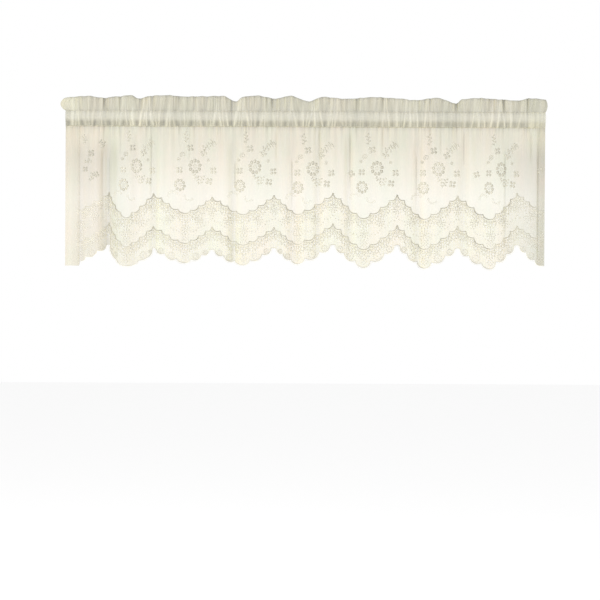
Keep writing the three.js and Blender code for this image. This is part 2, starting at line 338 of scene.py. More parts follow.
def streaks(x, share, first, strength):
    """Fine streaks of painted light and shade, as of fine gathers, that change from one set to the next.
    """
    low = np.interp(x, STREAK_PLACES, STREAKS[first])
    high = np.interp(x, STREAK_PLACES, STREAKS[first + 1])
    return 1 + strength * mix(low, high, share)


# Panel: gathers that fade out below the pocket, and a faint ripple that wanders and swells
GATHERED = Sizes(depth=1.5, fade=20)
RIPPLE = Sizes(
    depth=0.4, start=20, pitch=3.6, wander=1.7, wander_pitch=47, swell=0.4, swell_pitch=83,
)


def fold_depth(x, z):
    """How far the panel lies to the window."""
    fall = np.clip((PANEL_TOP - z) / (PANEL_TOP - LOWEST_POINT), 0, 1)
    depth = np.zeros(np.broadcast(x, z).shape)
    for fold in FOLDS:
        away = (x - fold.x) / fold.half
        depth += fold.depth * mix(fold.top, fold.hem, fall) * np.exp(-away * away)
    depth *= ease(fall / FOLD_START)
    for crease in CREASES:
        away = (x - crease.x) / crease.half
        length = crease.top - crease.foot
        started = ease((crease.top - z) / (CREASE_START * length))
        along = started * ease((z - crease.foot) / (CREASE_END * length))
        depth += crease.depth * along * np.exp(-away * away)
    below = PANEL_TOP - z
    depth += GATHERED.depth * gather(gather_step(x)) * np.exp(-below / GATHERED.fade)
    ripple = np.sin(x / RIPPLE.pitch + RIPPLE.wander * np.sin(x / RIPPLE.wander_pitch))
    ripple *= 1 - RIPPLE.swell + RIPPLE.swell * np.sin(x / RIPPLE.swell_pitch)
    return depth + RIPPLE.depth * ripple * ease(below / RIPPLE.start)


def fold_slope(x, z, reach=0.5):
    return (fold_depth(x + reach, z) - fold_depth(x - reach, z)) / (2 * reach)


def depth_behind(x, z, reach):
    """How far the panel lies behind the places beside it."""
    return fold_depth(x, z) - (fold_depth(x - reach, z) + fold_depth(x + reach, z)) / 2


def on_cloth(points):
    """Bends flat (x, z, lift) points onto the folds. Lift is away from the room."""
    x, z, lift = points.T
    slope = fold_slope(x, z)
    length = np.hypot(1, slope)
    return np.array([x - slope / length * lift, fold_depth(x, z) + lift / length, z]).T


def flat_points(x, z, lift=0):
    return np.array([x.ravel(), z.ravel(), np.full(x.size, lift)]).T


# Zigzag lines
def flank(peak, low, column, steps):
    """Half an arch and the scallops from a peak down to its low: rows of x, z, even x, and arcs."""
    shape = SHAPE_OF[column]
    squeeze = max(peak.squeeze, low.squeeze) ** shape.squeezed[0 if low.x > peak.x else 1]
    down = np.sign(low.x - peak.x)
    top, foot = getattr(peak, column), getattr(low, column)
    turn = np.pi / 2 * np.arange(1, ARCH_STEPS + 1) / ARCH_STEPS
    x = peak.x + down * shape.arch_half * np.sin(turn) / squeeze
    rows = [np.array([x, top - shape.arch_height * (1 - np.cos(turn)), x]).T]
    start = first = rows[0][-1, :2]
    arcs = []
    t = np.arange(1, steps + 1) / steps
    bulge = down * SCALLOP_BULGE / squeeze * 4 * t * (1 - t)
    for run, drop in shape.falling if down > 0 else shape.rising:
        end = np.array([mix(first[0], low.x, run**squeeze), mix(first[1], foot, drop)])
        run_x, run_z = end - start
        even = start[0] + run_x * t
        rows.append(np.array([even + run_z * bulge, start[1] + run_z * t - run_x * bulge, even]).T)
        arcs.append((start, end, squeeze))
        start = end
    x = mix(low.x, start[0], np.cos(np.pi / 2 * t))
    rows.append(np.array([x, mix(start[1], foot, np.sin(np.pi / 2 * t)), x]).T)
    return np.vstack(rows), arcs


def zigzag(column, steps):
    """A line's rows of x, z, even x and flank (1 where it falls to the right), and its arcs."""
    rows, arcs = [], []
    for before, after in zip(TURNS, TURNS[1:]):
        if getattr(before, column) > getattr(after, column):
            part, found = flank(before, after, column, steps)
            rows += [(*row, 1) for row in part]
        else:
            part, found = flank(after, before, column, steps)
            rows += [(*row, 0) for row in part[::-1][1:]]
            rows.append((after.x, getattr(after, column), after.x, 0))
        arcs += found
    return np.array(rows), arcs


HEM_ENDS = Sizes(gap=2, left=14, right=5)


def hem_line(steps):
    """The panel's whole lower edge."""
    rows, _ = zigzag("hem", steps)
    first, last = TURNS[0], TURNS[-1]
    left = [(x, SIDE_HEM_FOOT, x) for x in np.linspace(LEFT_EDGE, first.x - HEM_ENDS.gap, HEM_ENDS.left)]
    left.append((first.x, first.hem, first.x))
    right = [(x, last.hem, x) for x in np.linspace(last.x, RIGHT_EDGE, HEM_ENDS.right)[1:]]
    return np.array([*left, *rows[:, :3], *right])


LINES = {column: zigzag(column, steps=10)[0] for column in SHAPE_OF}


def line_height(column, x):
    rows = LINES[column]
    rows = rows[np.argsort(rows[:, 2])]
    return np.interp(x, rows[:, 2], rows[:, 1])


# Meshes
def mesh_object(name, points, faces, material):
    """A smooth mesh that rides on the body, from points in millimetres."""
    mesh = bpy.data.meshes.new(name)
    mesh.from_pydata((np.asarray(points) * MM).tolist(), [], faces)
    mesh.shade_smooth()
    mesh.materials.append(material)
    mesh.update()
    made = add_object(name, mesh)
    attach(made, ROOT)
    return made


def grid_faces(rows, columns):
    first = (np.arange(rows - 1)[:, None] * columns + np.arange(columns - 1)).ravel()
    return np.array([first, first + columns, first + columns + 1, first + 1]).T.tolist()


def tube_faces(rings, sides, closed=False):
    """Faces round a row of rings, with a cap at both ends unless they meet."""
    faces = []
    for i in range(rings if closed else rings - 1):
        here, ahead = i * sides, (i + 1) % rings * sides
        for side in range(sides):
            beside = (side + 1) % sides
            faces.append((here + side, here + beside, ahead + beside, ahead + side))
    if not closed:
        faces += [range(sides)[::-1], range((rings - 1) * sides, rings * sides)]
    return faces


def set_attribute(made, name, values, kind="FLOAT", field="value"):
    layer = made.data.attributes.new(name, kind, "POINT")
    layer.data.foreach_set(field, np.asarray(values, dtype=np.float32).ravel())


def directions(path, closed=False):
    """Direction of a path at each of its points."""
    if closed:
        ahead = np.roll(path, -1, axis=0) - np.roll(path, 1, axis=0)
    else:
        ahead = np.gradient(path, axis=0)
    return ahead / np.maximum(np.linalg.norm(ahead, axis=1), 1e-6)[:, None]


def way_along(path):
    """Length of a path from its start to each of its points."""
    return np.concatenate([[0], np.cumsum(np.linalg.norm(np.diff(path, axis=0), axis=1))])


def around(count):
    return np.linspace(0, 2 * np.pi, count, endpoint=False)


def circle(radius, points, squash=1):
    turn = around(points)
    return radius * np.array([squash * np.cos(turn), np.sin(turn)]).T


def turned(points, degrees):
    angle = np.radians(degrees)
    cos, sin = np.cos(angle), np.sin(angle)
    x, z = np.asarray(points, float).T
    return np.array([x * cos - z * sin, x * sin + z * cos]).T


def petal(length, width, points):
    """Outline of a petal that grows up from the origin."""
    turn = around(points)
    height = (1 - np.cos(turn)) / 2
    return np.array([np.sin(turn) * width / 2 * (0.55 + 0.6 * height), height * length]).T


# How strongly the lace shows: less at the two ends, where the cloth lies double
PRESENCE = (
    (-470, 0.75), (-445, 0.6), (-418, 0.5), (-408, 0.85), (-398, 1), (425, 1), (446, 0.8), (498, 0.6),
)
FADED_STITCH = 0.24


def presence(x):
    return straight(PRESENCE, x)


def stitch_shade(x):
    return 1 + FADED_STITCH * (1 - presence(x))


PATCH_DOME = 1.6


class Shapes:
    """Many small raised shapes that become one mesh."""

    def __init__(self):
        self.points, self.faces, self.shades = [], [], []
        self.count = 0

    def add(self, points, faces, shade=1):
        self.points.append(points)
        self.shades.append(np.broadcast_to(shade, len(points)))
        self.faces += [tuple(index + self.count for index in face) for face in faces]
        self.count += len(points)

    def thread(self, path, radius, shade, sides=4, closed=False):
        """A round thread along a flat path."""
        count = len(path)
        ahead = directions(path, closed)
        across = np.array([-ahead[:, 1], ahead[:, 0]]).T
        radius = np.broadcast_to(radius, count)[:, None]
        turn = around(sides)
        flat = path[:, None] + across[:, None] * (radius * np.cos(turn))[:, :, None]
        points = np.dstack([flat, radius * np.sin(turn)]).reshape(-1, 3)
        shades = np.repeat(np.broadcast_to(shade, count), sides)
        self.add(points, tube_faces(count, sides, closed), shades)

    def patch(self, outline, thickness, shade):
        """A patch of dense thread, a little domed on both sides."""
        count = len(outline)
        middle = outline.mean(axis=0)
        half = thickness / 2
        caps = [[*middle, -half * PATCH_DOME], [*middle, half * PATCH_DOME]]
        points = np.vstack([flat_points(*outline.T, -half), flat_points(*outline.T, half), caps])
        faces = []
        for i in range(count):
            j = (i + 1) % count
            faces += [(i, j, 2 * count), (count + j, count + i, 2 * count + 1)]
            faces.append((j, i, count + i, count + j))
        self.add(points, faces, shade)

    def bud(self, x, z, size, degrees=0):
        """A small oval of dense stitches."""
        long, wide = size
        outline = turned(circle(long / 2, 8, squash=wide / long), degrees) + (x, z)
        self.patch(outline, thickness=0.8, shade=stitch_shade(x))

    def bud_ring(self, x, z, radius, count, size):
        for i in range(count):
            degrees = 360 * i / count
            across, up = turned([[0, radius]], degrees)[0]
            self.bud(x + across, z + up, size, degrees)

    def build(self, name, material, slot, bend=on_cloth):
        made = mesh_object(name, bend(np.vstack(self.points)), self.faces, material)
        set_attribute(made, "shade", np.concatenate(self.shades))
        return made


# Floral motifs, whose tones change a little and pale towards the foot
TONE = Sizes(change=0.06, pale=0.07, pale_top=-78, pale_run=40)

# Petals and dashes round a motif's middle, as shares of its size
RING_PETALS, RING_DASHES, BLOSSOM_PETALS = table(
    "count long wide root points first squash thick pale",
    (9, 0.46, 0.44, 0.54, 14, 0, 0.88, 0.4, 1.14),
    (6, 0.26, 0.13, 0.1, 8, 0, 1, 0.5, 1.12),
    (4, 0.88, 0.84, 0.24, 12, 45, 1, 0.5, 1.08),
)

# Leaves by place and width, and the sprig
LEAVES = ((-5.04, 1.5, 3.6), (-0.56, -1.5, 3), (2.8, 3, 3.6), (6.16, -2.5, 3))
SPRIG = Sizes(buds=6, bud=(4.8, 3.4), bud_apart=0.7, bud_turn=-58, bow=0.1, bend=2.6, stem=0.35)


class Flowers:
    """Draws floral motifs."""

    def __init__(self):
        self.threads, self.petals = Shapes(), Shapes()

    def draw(self, cluster, motif):
        """Draws a motif with a tone of its own."""
        self.cluster, self.motif = cluster, motif
        self.tone = motif.tone * (1 + TONE.change * np.sin(0.37 * (cluster.x + motif.x) + motif.z))
        self.tone *= 1 + TONE.pale * ease((TONE.pale_top - cluster.z - motif.z) / TONE.pale_run)
        getattr(self, motif.kind)(motif.size)

    def place(self, points):
        cluster, motif = self.cluster, self.motif
        points = turned(points, motif.turn) * (cluster.width, 1)
        return points + (cluster.x + motif.x * cluster.width, cluster.z + motif.z)

    def line(self, path, radius, pale=1, closed=False):
        self.threads.thread(path, radius, self.tone * pale, closed=closed)

    def leaf(self, outline):
        self.petals.patch(self.place(outline), thickness=0.5, shade=self.tone * 1.06)

    def wreath(self, size, part):
        """Sets parts round a motif's middle and gives their outlines."""
        outlines = []
        for i in range(part.count):
            leaf = petal(part.long * size, part.wide * size, part.points) + (0, part.root * size)
            leaf = self.place(turned(leaf, part.first + i * 360 / part.count) * (part.squash, 1))
            self.petals.patch(leaf, part.thick, self.tone * part.pale)
            outlines.append(leaf)
        return outlines

    def ring(self, size):
        """A large open flower of pale petals with darker outlines."""
        for i, leaf in enumerate(self.wreath(size, RING_PETALS)):
            self.line(leaf, radius=0.5, pale=0.97 + 0.13 * np.sin(1.9 * i + self.cluster.x), closed=True)
        self.wreath(size, RING_DASHES)

    def blossom(self, size):
        for leaf in self.wreath(size, BLOSSOM_PETALS):
            self.line(leaf, radius=0.3, pale=1.04, closed=True)

    def sprig(self, size):
        rise = np.linspace(0, 1, 10)
        stem = np.array([SPRIG.bow * np.sin(rise * SPRIG.bend), rise]).T * size
        self.line(self.place(stem), SPRIG.stem)
        for i, share in enumerate(np.linspace(0.1, 1, SPRIG.buds)):
            side = 1 if i % 2 else -1
            x = SPRIG.bow * size * np.sin(share * SPRIG.bend) + SPRIG.bud_apart * side
            self.leaf(turned(petal(*SPRIG.bud, 8), SPRIG.bud_turn * side) + (x, share * size))

    def leaves(self, size):
        for x, z, width in LEAVES:
            self.leaf(petal(size, width, 9) + (x, z))

    def tendril(self, size):
        turn = np.linspace(0, 3 * np.pi, 30)
        reach = size * mix(0.2, 1, turn / turn[-1])
        curl = np.array([reach * np.cos(turn), reach * np.sin(turn)]).T
        self.line(self.place(curl), radius=0.55)

    def spray(self, size):
        for degrees in range(-70, 71, 35):
            angle = np.radians(degrees)
            middle = size * np.array([np.sin(angle), np.cos(angle)])
            self.line(self.place(circle(0.2 * size, 10) + middle), radius=0.32, closed=True)


def make_flowers(material):
    flowers = Flowers()
    for cluster in CLUSTERS:
        for motif in MOTIFS:
            flowers.draw(cluster, motif)
    for motif in LONE_MOTIFS:
        flowers.draw(NO_CLUSTER, motif)
    parts = {"flower_threads": flowers.threads, "flower_petals": flowers.petals}
    return [shapes.build(name, material, "lace_motif") for name, shapes in parts.items()]


# Zigzag cords, and how far below them finer threads follow
CORDS = table(
    "line scale pale echoes",
    ("upper", 1, 1.04, (3.6, 6.2)),
    ("middle", 0.92, 1.1, (3.6, 6.2)),
    ("hem", 0.7, 1.36, (2.6,)),
)
CORD = Sizes(radii=(0.84, 0.95), shades=(1, 0.93), blend=6, sides=6, change=0.14, run_on=9, inset=0.6)
ECHO = Sizes(radius=0.3, shade=1.4, clear=0.93)


def beside(path, reach):
    """A path below another one, and which of its points the bends leave clear."""
    ahead = directions(path)
    moved = path + np.array([ahead[:, 1], -ahead[:, 0]]).T * reach
    away = np.linalg.norm(moved[:, None] - path, axis=2).min(axis=1)
    return moved, away > ECHO.clear * reach


def make_zigzag_cords(material):
    made = []
    for look in CORDS:
        rows = LINES[look.line]
        rows = np.vstack([rows[:1], rows, rows[-1:]])
        rows[-1, 0] = RIGHT_EDGE - CORD.inset
        rows[0, 0] -= CORD.run_on
        if look.line == "hem":
            rows = rows[1:]
        path, x = rows[:, :2], rows[:, 0]
        width = 2 * CORD.blend + 1
        falling = np.pad(rows[:, 3], CORD.blend, mode="edge")
        falling = np.convolve(falling, np.ones(width) / width, mode="valid")
        change = 1 + CORD.change * (0.6 * np.sin(x / 9.1 + 2 * np.sin(x / 37)) + 0.4 * np.sin(x / 3.7))
        shown = presence(x)
        radius = mix(*CORD.radii, falling) * look.scale * change * shown
        shade = mix(*CORD.shades, falling) * look.pale / change / np.sqrt(shown)
        cord = Shapes()
        cord.thread(path, radius, shade, CORD.sides)
        for reach in look.echoes:
            echo, clear = beside(path, reach)
            cord.thread(echo[clear], ECHO.radius * shown[clear], shade[clear] * ECHO.shade)
        made.append(cord.build(f"zigzag_cord_{look.line}", material, "lace_cord"))
    return made


# Dense stitches of the lace: rows of buds and loops below a line, rosettes and lattices
BUD_ROWS = table("drop pitch size", (5.4, 5.2, (3.8, 2.5)), (19, 6.2, (3.2, 2.3)), (43, 7, (2.8, 2)))
BUD_LINES = {"upper": BUD_ROWS, "middle": BUD_ROWS[:2]}
LOOP = Sizes(drop=12.2, pitch=10.4, radius=3.7, thread=0.55)
ROSETTE = Sizes(drop=31, rings=((8, 9), (3.84, 5)), bud=(3.6, 2.3))
MIDDLE_BUD = (2.4, 2.4)
LATTICES = table("line drop radius", ("middle", -12, 10), ("hem", -13, 8))
LATTICE = Sizes(pitch=4.6, bud=(2.5, 2))
SCALLOP = Sizes(ring=0.23, margin=0.08, buds=11, bud=(2.8, 2.1))


def along_line(line, pitch):
    """Points spaced evenly along a zigzag line."""
    path = LINES[line][:, :2]
    run = way_along(path)
    stops = np.arange(pitch / 2, run[-1], pitch)
    return zip(np.interp(stops, run, path[:, 0]), np.interp(stops, run, path[:, 1]))


def add_lattice(shapes, x, z, radius):
    reach = int(radius / LATTICE.pitch) + 2
    for i in range(-reach, reach + 1):
        for j in range(-reach, reach + 1):
            place = np.array([i - j, i + j]) * 0.7 * LATTICE.pitch
            if np.hypot(*place) <= radius:
                shapes.bud(x + place[0], z + place[1], LATTICE.bud)


def add_scallop_rings(shapes):
    """A ring of buds inside each scallop of the hem."""
    for start, end, squeeze in zigzag("hem", 2)[1]:
        run = np.subtract(end, start)
        width = float(np.hypot(*run))
        outward = np.array([run[1], -run[0]]) * np.sign(run[0]) / width
        shift = SCALLOP_BULGE / squeeze - SCALLOP.ring - SCALLOP.margin
        middle = np.add(start, end) / 2 + outward * shift * width
        shapes.bud_ring(*middle, SCALLOP.ring * width, SCALLOP.buds, SCALLOP.bud)
        shapes.bud(*middle, MIDDLE_BUD)


def make_lace_stitches(material):
    shapes = Shapes()
    for line, rows in BUD_LINES.items():
        for row in rows:
            for x, z in along_line(line, row.pitch):
                shapes.bud(x, z - row.drop, row.size)
    for line in BUD_LINES:
        for x, z in along_line(line, LOOP.pitch):
            loop = circle(LOOP.radius, 12) + (x, z - LOOP.drop)
            shapes.thread(loop, LOOP.thread, stitch_shade(x), closed=True)
    for before, after in zip(TURNS, TURNS[1:]):
        for x in (before.x, mix(before.x, after.x, 0.5)):
            z = line_height("upper", x) - ROSETTE.drop
            for radius, count in ROSETTE.rings:
                shapes.bud_ring(x, z, radius, count, ROSETTE.bud)
            shapes.bud(x, z, MIDDLE_BUD)
    for plan in LATTICES:
        for turn in TURNS[::2]:
            add_lattice(shapes, turn.x, getattr(turn, plan.line) - plan.drop, plan.radius)
    add_scallop_rings(shapes)
    return shapes.build("lace_stitches", material, "lace_cord")


# Panel cloth: at each height, how much of it is thread and how light it is. That lightness is painted:
# shade near the top, and light from behind lower down
PANEL = Sizes(steps=16, rows=96, tuck=1.4, scallop_fade=8)
PANEL_LOOKS = (
    (-314, 0.48, 1.14), (-226, 0.45, 1.16), (-170, 0.42, 1.17), (-120, 0.57, 1.03), (-60, 0.69, 0.9),
    (-23, 0.74, 0.86),
)

# Along the panel: how light its ends and folds are, and how warm its colour is. The darker ends are
# partly denser gathered cloth and partly painted shade
END_SHADES = (
    (-495, 0.88), (-468, 0.82), (-446, 0.76), (-415, 0.83), (-390, 0.78), (-374, 0.9), (-340, 0.97),
    (-200, 0.99), (0, 1.01), (400, 1.02), (425, 0.9), (445, 0.8), (480, 0.75), (498, 0.7),
)
WARMTH = ((-495, 0.09), (-425, 0.07), (-400, -0.04), (-330, -0.04), (-230, 0), (460, -0.04))
ENDS = Sizes(top=-40, run=50)
TIER = Sizes(cover=0.5, edge=1.6)
STEEP = Sizes(cover=2.2, most=1.2)
DOUBLED_COVER = 0.42
# Painted shade in the hollows of folds, by how far they lie behind the cloth beside them
FOLD = Sizes(shade=0.07, reach=7, shades=(0.72, 1.05))
# Painted shade just under the pocket, with fine painted streaks of its gathers there
SHADE_UNDER_POCKET = Sizes(shade=0.86, shade_drop=9, streak=0.11, streak_drop=16)
BODY_STREAK = 0.014


def panel_cover(x, z):
    """Share of thread in the panel: more below the lines and on steep folds."""
    plain = mix(straight(PANEL_LOOKS, z), 1, DOUBLED_COVER * (1 - presence(x)))
    tier = ease((line_height("upper", x) - z) / TIER.edge) * (x > TURNS[0].x)
    steep = np.minimum(np.hypot(1, fold_slope(x, z, reach=0.8)), STEEP.most) ** STEEP.cover
    return 1 - (1 - mix(plain, np.maximum(plain, TIER.cover), tier)) ** steep


def panel_shade(x, z):
    # Painted light and shade: shade in fold hollows, under the pocket and at the ends, light lower down,
    # and fine streaks
    hollow = 0.5 * depth_behind(x, z, FOLD.reach) + depth_behind(x, z, FOLD.reach / 3)
    seam = mix(SHADE_UNDER_POCKET.shade, 1, ease((PANEL_TOP - z) / SHADE_UNDER_POCKET.shade_drop))
    ends = mix(1, straight(END_SHADES, x), ease((ENDS.top - z) / ENDS.run))
    fine = BODY_STREAK + SHADE_UNDER_POCKET.streak * np.exp(np.minimum(z - PANEL_TOP, 0) / SHADE_UNDER_POCKET.streak_drop)
    folds = np.clip(1 - FOLD.shade * hollow, *FOLD.shades)
    return straight(PANEL_LOOKS, z, column=2) * seam * ends * folds * streaks(x, 0, 0, fine)


def panel_layer(name, x, z, lift, material):
    """A layer of the panel, with what its material reads but its cover and its shade."""
    points = on_cloth(flat_points(x, z, lift))
    made = mesh_object(name, points, grid_faces(*x.shape), material)
    x, z = x.ravel(), z.ravel()
    upper = line_height("upper", x) - z
    middle = line_height("middle", x) - z
    lace = np.array([x, np.where(middle > 0, middle, upper), np.zeros(x.size)]).T
    set_attribute(made, "lace", lace, "FLOAT_VECTOR", "vector")
    set_attribute(made, "band", np.clip(upper / 2, 0, 1) * (x > TURNS[0].x) * presence(x) ** 2)
    set_attribute(made, "warmth", straight(WARMTH, x))
    return made


def make_panel(material):
    hem = hem_line(PANEL.steps)
    share = np.linspace(0, 1, PANEL.rows)[:, None]
    x = mix(hem[:, 2], hem[:, 0], share**PANEL.scallop_fade)
    z = mix(PANEL_TOP + PANEL.tuck, hem[:, 1], share)
    made = panel_layer("panel_cloth", x, z, 0, material)
    set_attribute(made, "cover", panel_cover(x, z))
    set_attribute(made, "shade", panel_shade(x, z))
    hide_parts("panel")
    return made


# Heading cloth: up the front of the pocket and the ruffle, over its top, and down the back
HEADING_COLUMNS = 1261
POCKET = Sizes(
    rows=19, inset=0.3, pucker_foot=0.35, pucker=0.35, streak=0.22, end=458, end_run=8,
    end_share=0.75, end_shade=0.95,
)
LEAST_RUN = 0.2
STEEP_HEADING = 0.9
BACK_COVER = 0.6
HIGHLIT_RIDGE_COVER = 0.7
# Painted shade in the dents between ridges and in the thin creases of the puckers
DENT = Sizes(shade=0.2, top=-6, run=6)
CREASE_SHADE = 0.12

# Ruffle: its rows as shares of its height, how light it is there with painted shade at its foot and along
# its folded top edge, and its relief, whose ridges get a painted highlight
RUFFLE = Sizes(
    shares=(0.1, 0.22, 0.36, 0.52, 0.68, 0.82, 0.93, 1),
    looks=((0, 0.62), (0.15, 0.72), (0.82, 0.765), (0.93, 0.67), (1, 0.46)), height=38, gather=2.4,
    gather_foot=0.9, slow_gather=0.9, lean_curve=1.3, flare_curve=0.8, edge_wave=0.35, edge_rise=0.35,
    apart=0.7, puff=1.4, cover=0.64, ridge=0.9, ridge_fade=0.5, risen=0.36, shades=(0.42, 1.2),
    streak=0.11, streak_lean=6, end_light=0.2, end_steps=3.6,
)
# Painted shade in the ruffle's hollows, by how far they lie behind their neighbours
HOLLOW_SHADE = 0.1

HeadingRow = namedtuple("HeadingRow", "points shade cover")


def heading_row(x, depth, height, shade, cover, relief, facing):
    """A row of the heading. Its back and its ridges have less thread, which on the ridges lightens them
    as a painted highlight.
    """
    cover = (cover if facing < 0 else cover * BACK_COVER) * mix(1, HIGHLIT_RIDGE_COVER, relief)
    return HeadingRow(np.array([x, depth, height]).T, shade, cover)


def end_flare(step, level):
    left = getattr(LEFT_FLARE, level) * ease(1 - step / LEFT_FLARE.steps)
    right = getattr(RIGHT_FLARE, level) * ease(1 - (GATHER_STEPS - step) / RIGHT_FLARE.steps)
    return left + right


def pocket_row(x, z, facing):
    """A row of the pocket's wall, whose ridges stand out on both sides."""
    half, ridge, hollow, risen, cover = rounded(POCKET_WALL, z)
    relief, dent = ridge_relief(x, z, facing)
    share = (z - LOWER_STITCH) / (UPPER_STITCH - LOWER_STITCH)
    dip, crease = puckers(x, mix(POCKET.pucker_foot, 1, share), True)
    depth = facing * (half + (relief - POCKET.inset * dent - POCKET.inset) * ridge) + dip * POCKET.pucker
    # Painted light and shade: shade in the hollows, dents and creases, a highlight on the ridges, fine
    # streaks, and less of it all at the right end
    shade = mix(hollow, risen, relief) - CREASE_SHADE * crease
    shade -= DENT.shade * dent * ease((DENT.top - z) / DENT.run)
    shade = mix(shade, POCKET.end_shade, POCKET.end_share * ease((x - POCKET.end) / POCKET.end_run))
    shade *= streaks(x, share, 0, POCKET.streak)
    return heading_row(x, depth, np.full_like(x, z), shade, cover, relief, facing)


def ruffle_row(x, share, facing):
    """A row of the ruffle, at a share of its height."""
    step = gather_step(x)
    top, lean = eased(HEADER, x)
    bow = max(np.sin(np.pi * share), 0)
    relief, dent = ridge_relief(x, mix(UPPER_STITCH, RUFFLE.height, share), facing)
    relief *= 1 - RUFFLE.ridge_fade * share
    dip, crease = puckers(x, share, False)
    wave = gather(step) * mix(RUFFLE.gather_foot, RUFFLE.gather, share) + dip
    wave += gather(step * 0.5 + 3.1) * RUFFLE.slow_gather * share
    flare = end_flare(step, "middle") * bow**RUFFLE.flare_curve + end_flare(step, "top") * share
    height = mix(UPPER_STITCH, top, share) + RUFFLE.edge_wave * np.sin(step * 1.9) * share
    outward = RUFFLE.apart + RUFFLE.puff / 2 * bow + RUFFLE.ridge * relief * (1 - share)
    depth = wave + lean * share**RUFFLE.lean_curve + facing * outward
    # Painted light and shade: shade in the hollows, dents and creases, a highlight on the ridges, and
    # fine streaks
    shade = straight(RUFFLE.looks, share) * (1 + HOLLOW_SHADE * facing * hollows(wave, reach=11))
    shade += RUFFLE.risen * relief - DENT.shade * dent * (1 - share) ** 2 - CREASE_SHADE * crease
    shade *= streaks(x + RUFFLE.streak_lean * share * np.sin(0.4 * step), share, 2, RUFFLE.streak)
    shade += RUFFLE.end_light * np.exp(-((step / RUFFLE.end_steps) ** 2))
    shade = np.clip(shade, *RUFFLE.shades)
    return heading_row(x + flare, depth, height, shade, RUFFLE.cover, relief, facing)


def make_heading(material):
    x = np.linspace(LEFT_EDGE, RIGHT_EDGE, HEADING_COLUMNS)
    heights = np.linspace(LOWER_STITCH, UPPER_STITCH, POCKET.rows)
    front, back = (
        [pocket_row(x, z, facing) for z in heights]
        + [ruffle_row(x, share, facing) for share in RUFFLE.shares]
        for facing in (-1, 1)
    )
    edge = (front[-1].points + back[-1].points) / 2 + (0, 0, RUFFLE.edge_rise)
    rows = front + [front[-1]._replace(points=edge)] + back[::-1]
    points = np.stack([row.points for row in rows])
    faces = grid_faces(*points.shape[:2])
    made = mesh_object("heading_cloth", points.reshape(-1, 3), faces, material)
    run = np.abs(np.gradient(points[:, :, 0], axis=1))
    slope = np.abs(np.gradient(points[:, :, 1], axis=1)) / np.maximum(run, LEAST_RUN)
    cover = np.stack([row.cover for row in rows])
    set_attribute(made, "cover", 1 - (1 - cover) ** (np.hypot(1, slope) ** STEEP_HEADING))
    set_attribute(made, "shade", np.stack([row.shade for row in rows]))
    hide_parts("heading")
    return made, front, back


# Stitching: each stitch's radius along its length
STITCH = Sizes(
    pitch=3, length=2.2, radius=0.4,
    profile=((0, 0.35), (0.25, 0.9), (0.5, 1), (0.75, 0.9), (1, 0.35)), sides=5, shift=0.3,
)


def make_stitches(name, path, material):
    """A row of small raised stitches along a path."""
    run = way_along(path)
    turns = around(STITCH.sides)
    stitches = Shapes()
    for start in np.arange(STITCH.pitch / 2, run[-1] - STITCH.pitch, STITCH.pitch):
        stops = [start + STITCH.length * share for share, _ in STITCH.profile]
        centres = np.array([np.interp(stops, run, path[:, k]) for k in range(3)]).T
        ahead = centres[-1] - centres[0]
        ahead /= np.linalg.norm(ahead)
        up = np.cross(ahead, (0, 1, 0))
        up /= np.linalg.norm(up)
        out = np.cross(up, ahead)
        points = [
            centre + (up * np.cos(turn) + out * np.sin(turn)) * STITCH.radius * scale
            for centre, (_, scale) in zip(centres, STITCH.profile)
            for turn in turns
        ]
        stitches.add(points, tube_faces(len(STITCH.profile), STITCH.sides))
    return stitches.build(name, material, "stitching", bend=np.array)


def make_heading_stitching(material, front, back):
    made = []
    for level, i in (("upper", POCKET.rows - 1), ("lower", 1)):
        for side, rows, shift in (("front", front, -STITCH.shift), ("back", back, STITCH.shift)):
            path = rows[i].points + (0, shift, 0)
            made.append(make_stitches(f"stitching_{level}_{side}", path, material))
    return made


# Side hems: a second layer turned to the back, with its stitching. Their shade is the panel's painted
# shade, deeper on the right hem
SIDE_HEMS = table(
    "name outer inner foot cover shade",
    ("left", LEFT_EDGE + 0.5, -465, SIDE_HEM_FOOT + 1.5, 0.16, 0.98),
    ("right", RIGHT_EDGE - 0.5, 481, TURNS[-1].hem + 1.5, 0.32, 0.88),
)
SIDE_HEM = Sizes(lift=0.9, columns=13, drop=0.5)
SIDE_SEAM = Sizes(inset=1.6, top=-26, margin=2, lift=-0.2, points=200)


def make_side_hems(cloth_material, stitch_material):
    made = []
    for hem in SIDE_HEMS:
        across = np.linspace(hem.outer, hem.inner, SIDE_HEM.columns)
        down = np.linspace(PANEL_TOP - SIDE_HEM.drop, hem.foot, PANEL.rows)
        x, z = np.meshgrid(across, down)
        layer = panel_layer(f"side_hem_{hem.name}", x, z, SIDE_HEM.lift, cloth_material)
        set_attribute(layer, "cover", np.full(x.size, hem.cover))
        set_attribute(layer, "shade", panel_shade(x, z) * hem.shade)
        seam_x = hem.inner + np.copysign(SIDE_SEAM.inset, hem.outer - hem.inner)
        seam_z = np.linspace(SIDE_SEAM.top, hem.foot + SIDE_SEAM.margin, SIDE_SEAM.points)
        seam = on_cloth(flat_points(np.full(SIDE_SEAM.points, seam_x), seam_z, SIDE_SEAM.lift))
        made += [layer, make_stitches(f"stitching_side_{hem.name}", seam, stitch_material)]
    return made


# Materials
WHITE = (1, 1, 1, 1)


def new_material(name):
    material = bpy.data.materials.new(name)
    material.use_nodes = True
    material.node_tree.nodes.clear()
    return material, material.node_tree


def add_node(tree, kind, inputs=None, **settings):
    """A shader node, its inputs set to values or linked to other nodes."""
    node = tree.nodes.new("ShaderNode" + kind)
    for key, value in settings.items():
        setattr(node, key, value)
    for key, value in (inputs or {}).items():
        if isinstance(value, bpy.types.Node):
            value = value.outputs[0]
        if isinstance(value, bpy.types.NodeSocket):
            tree.links.new(value, node.inputs[key])
        else:
            node.inputs[key].default_value = value
    return node


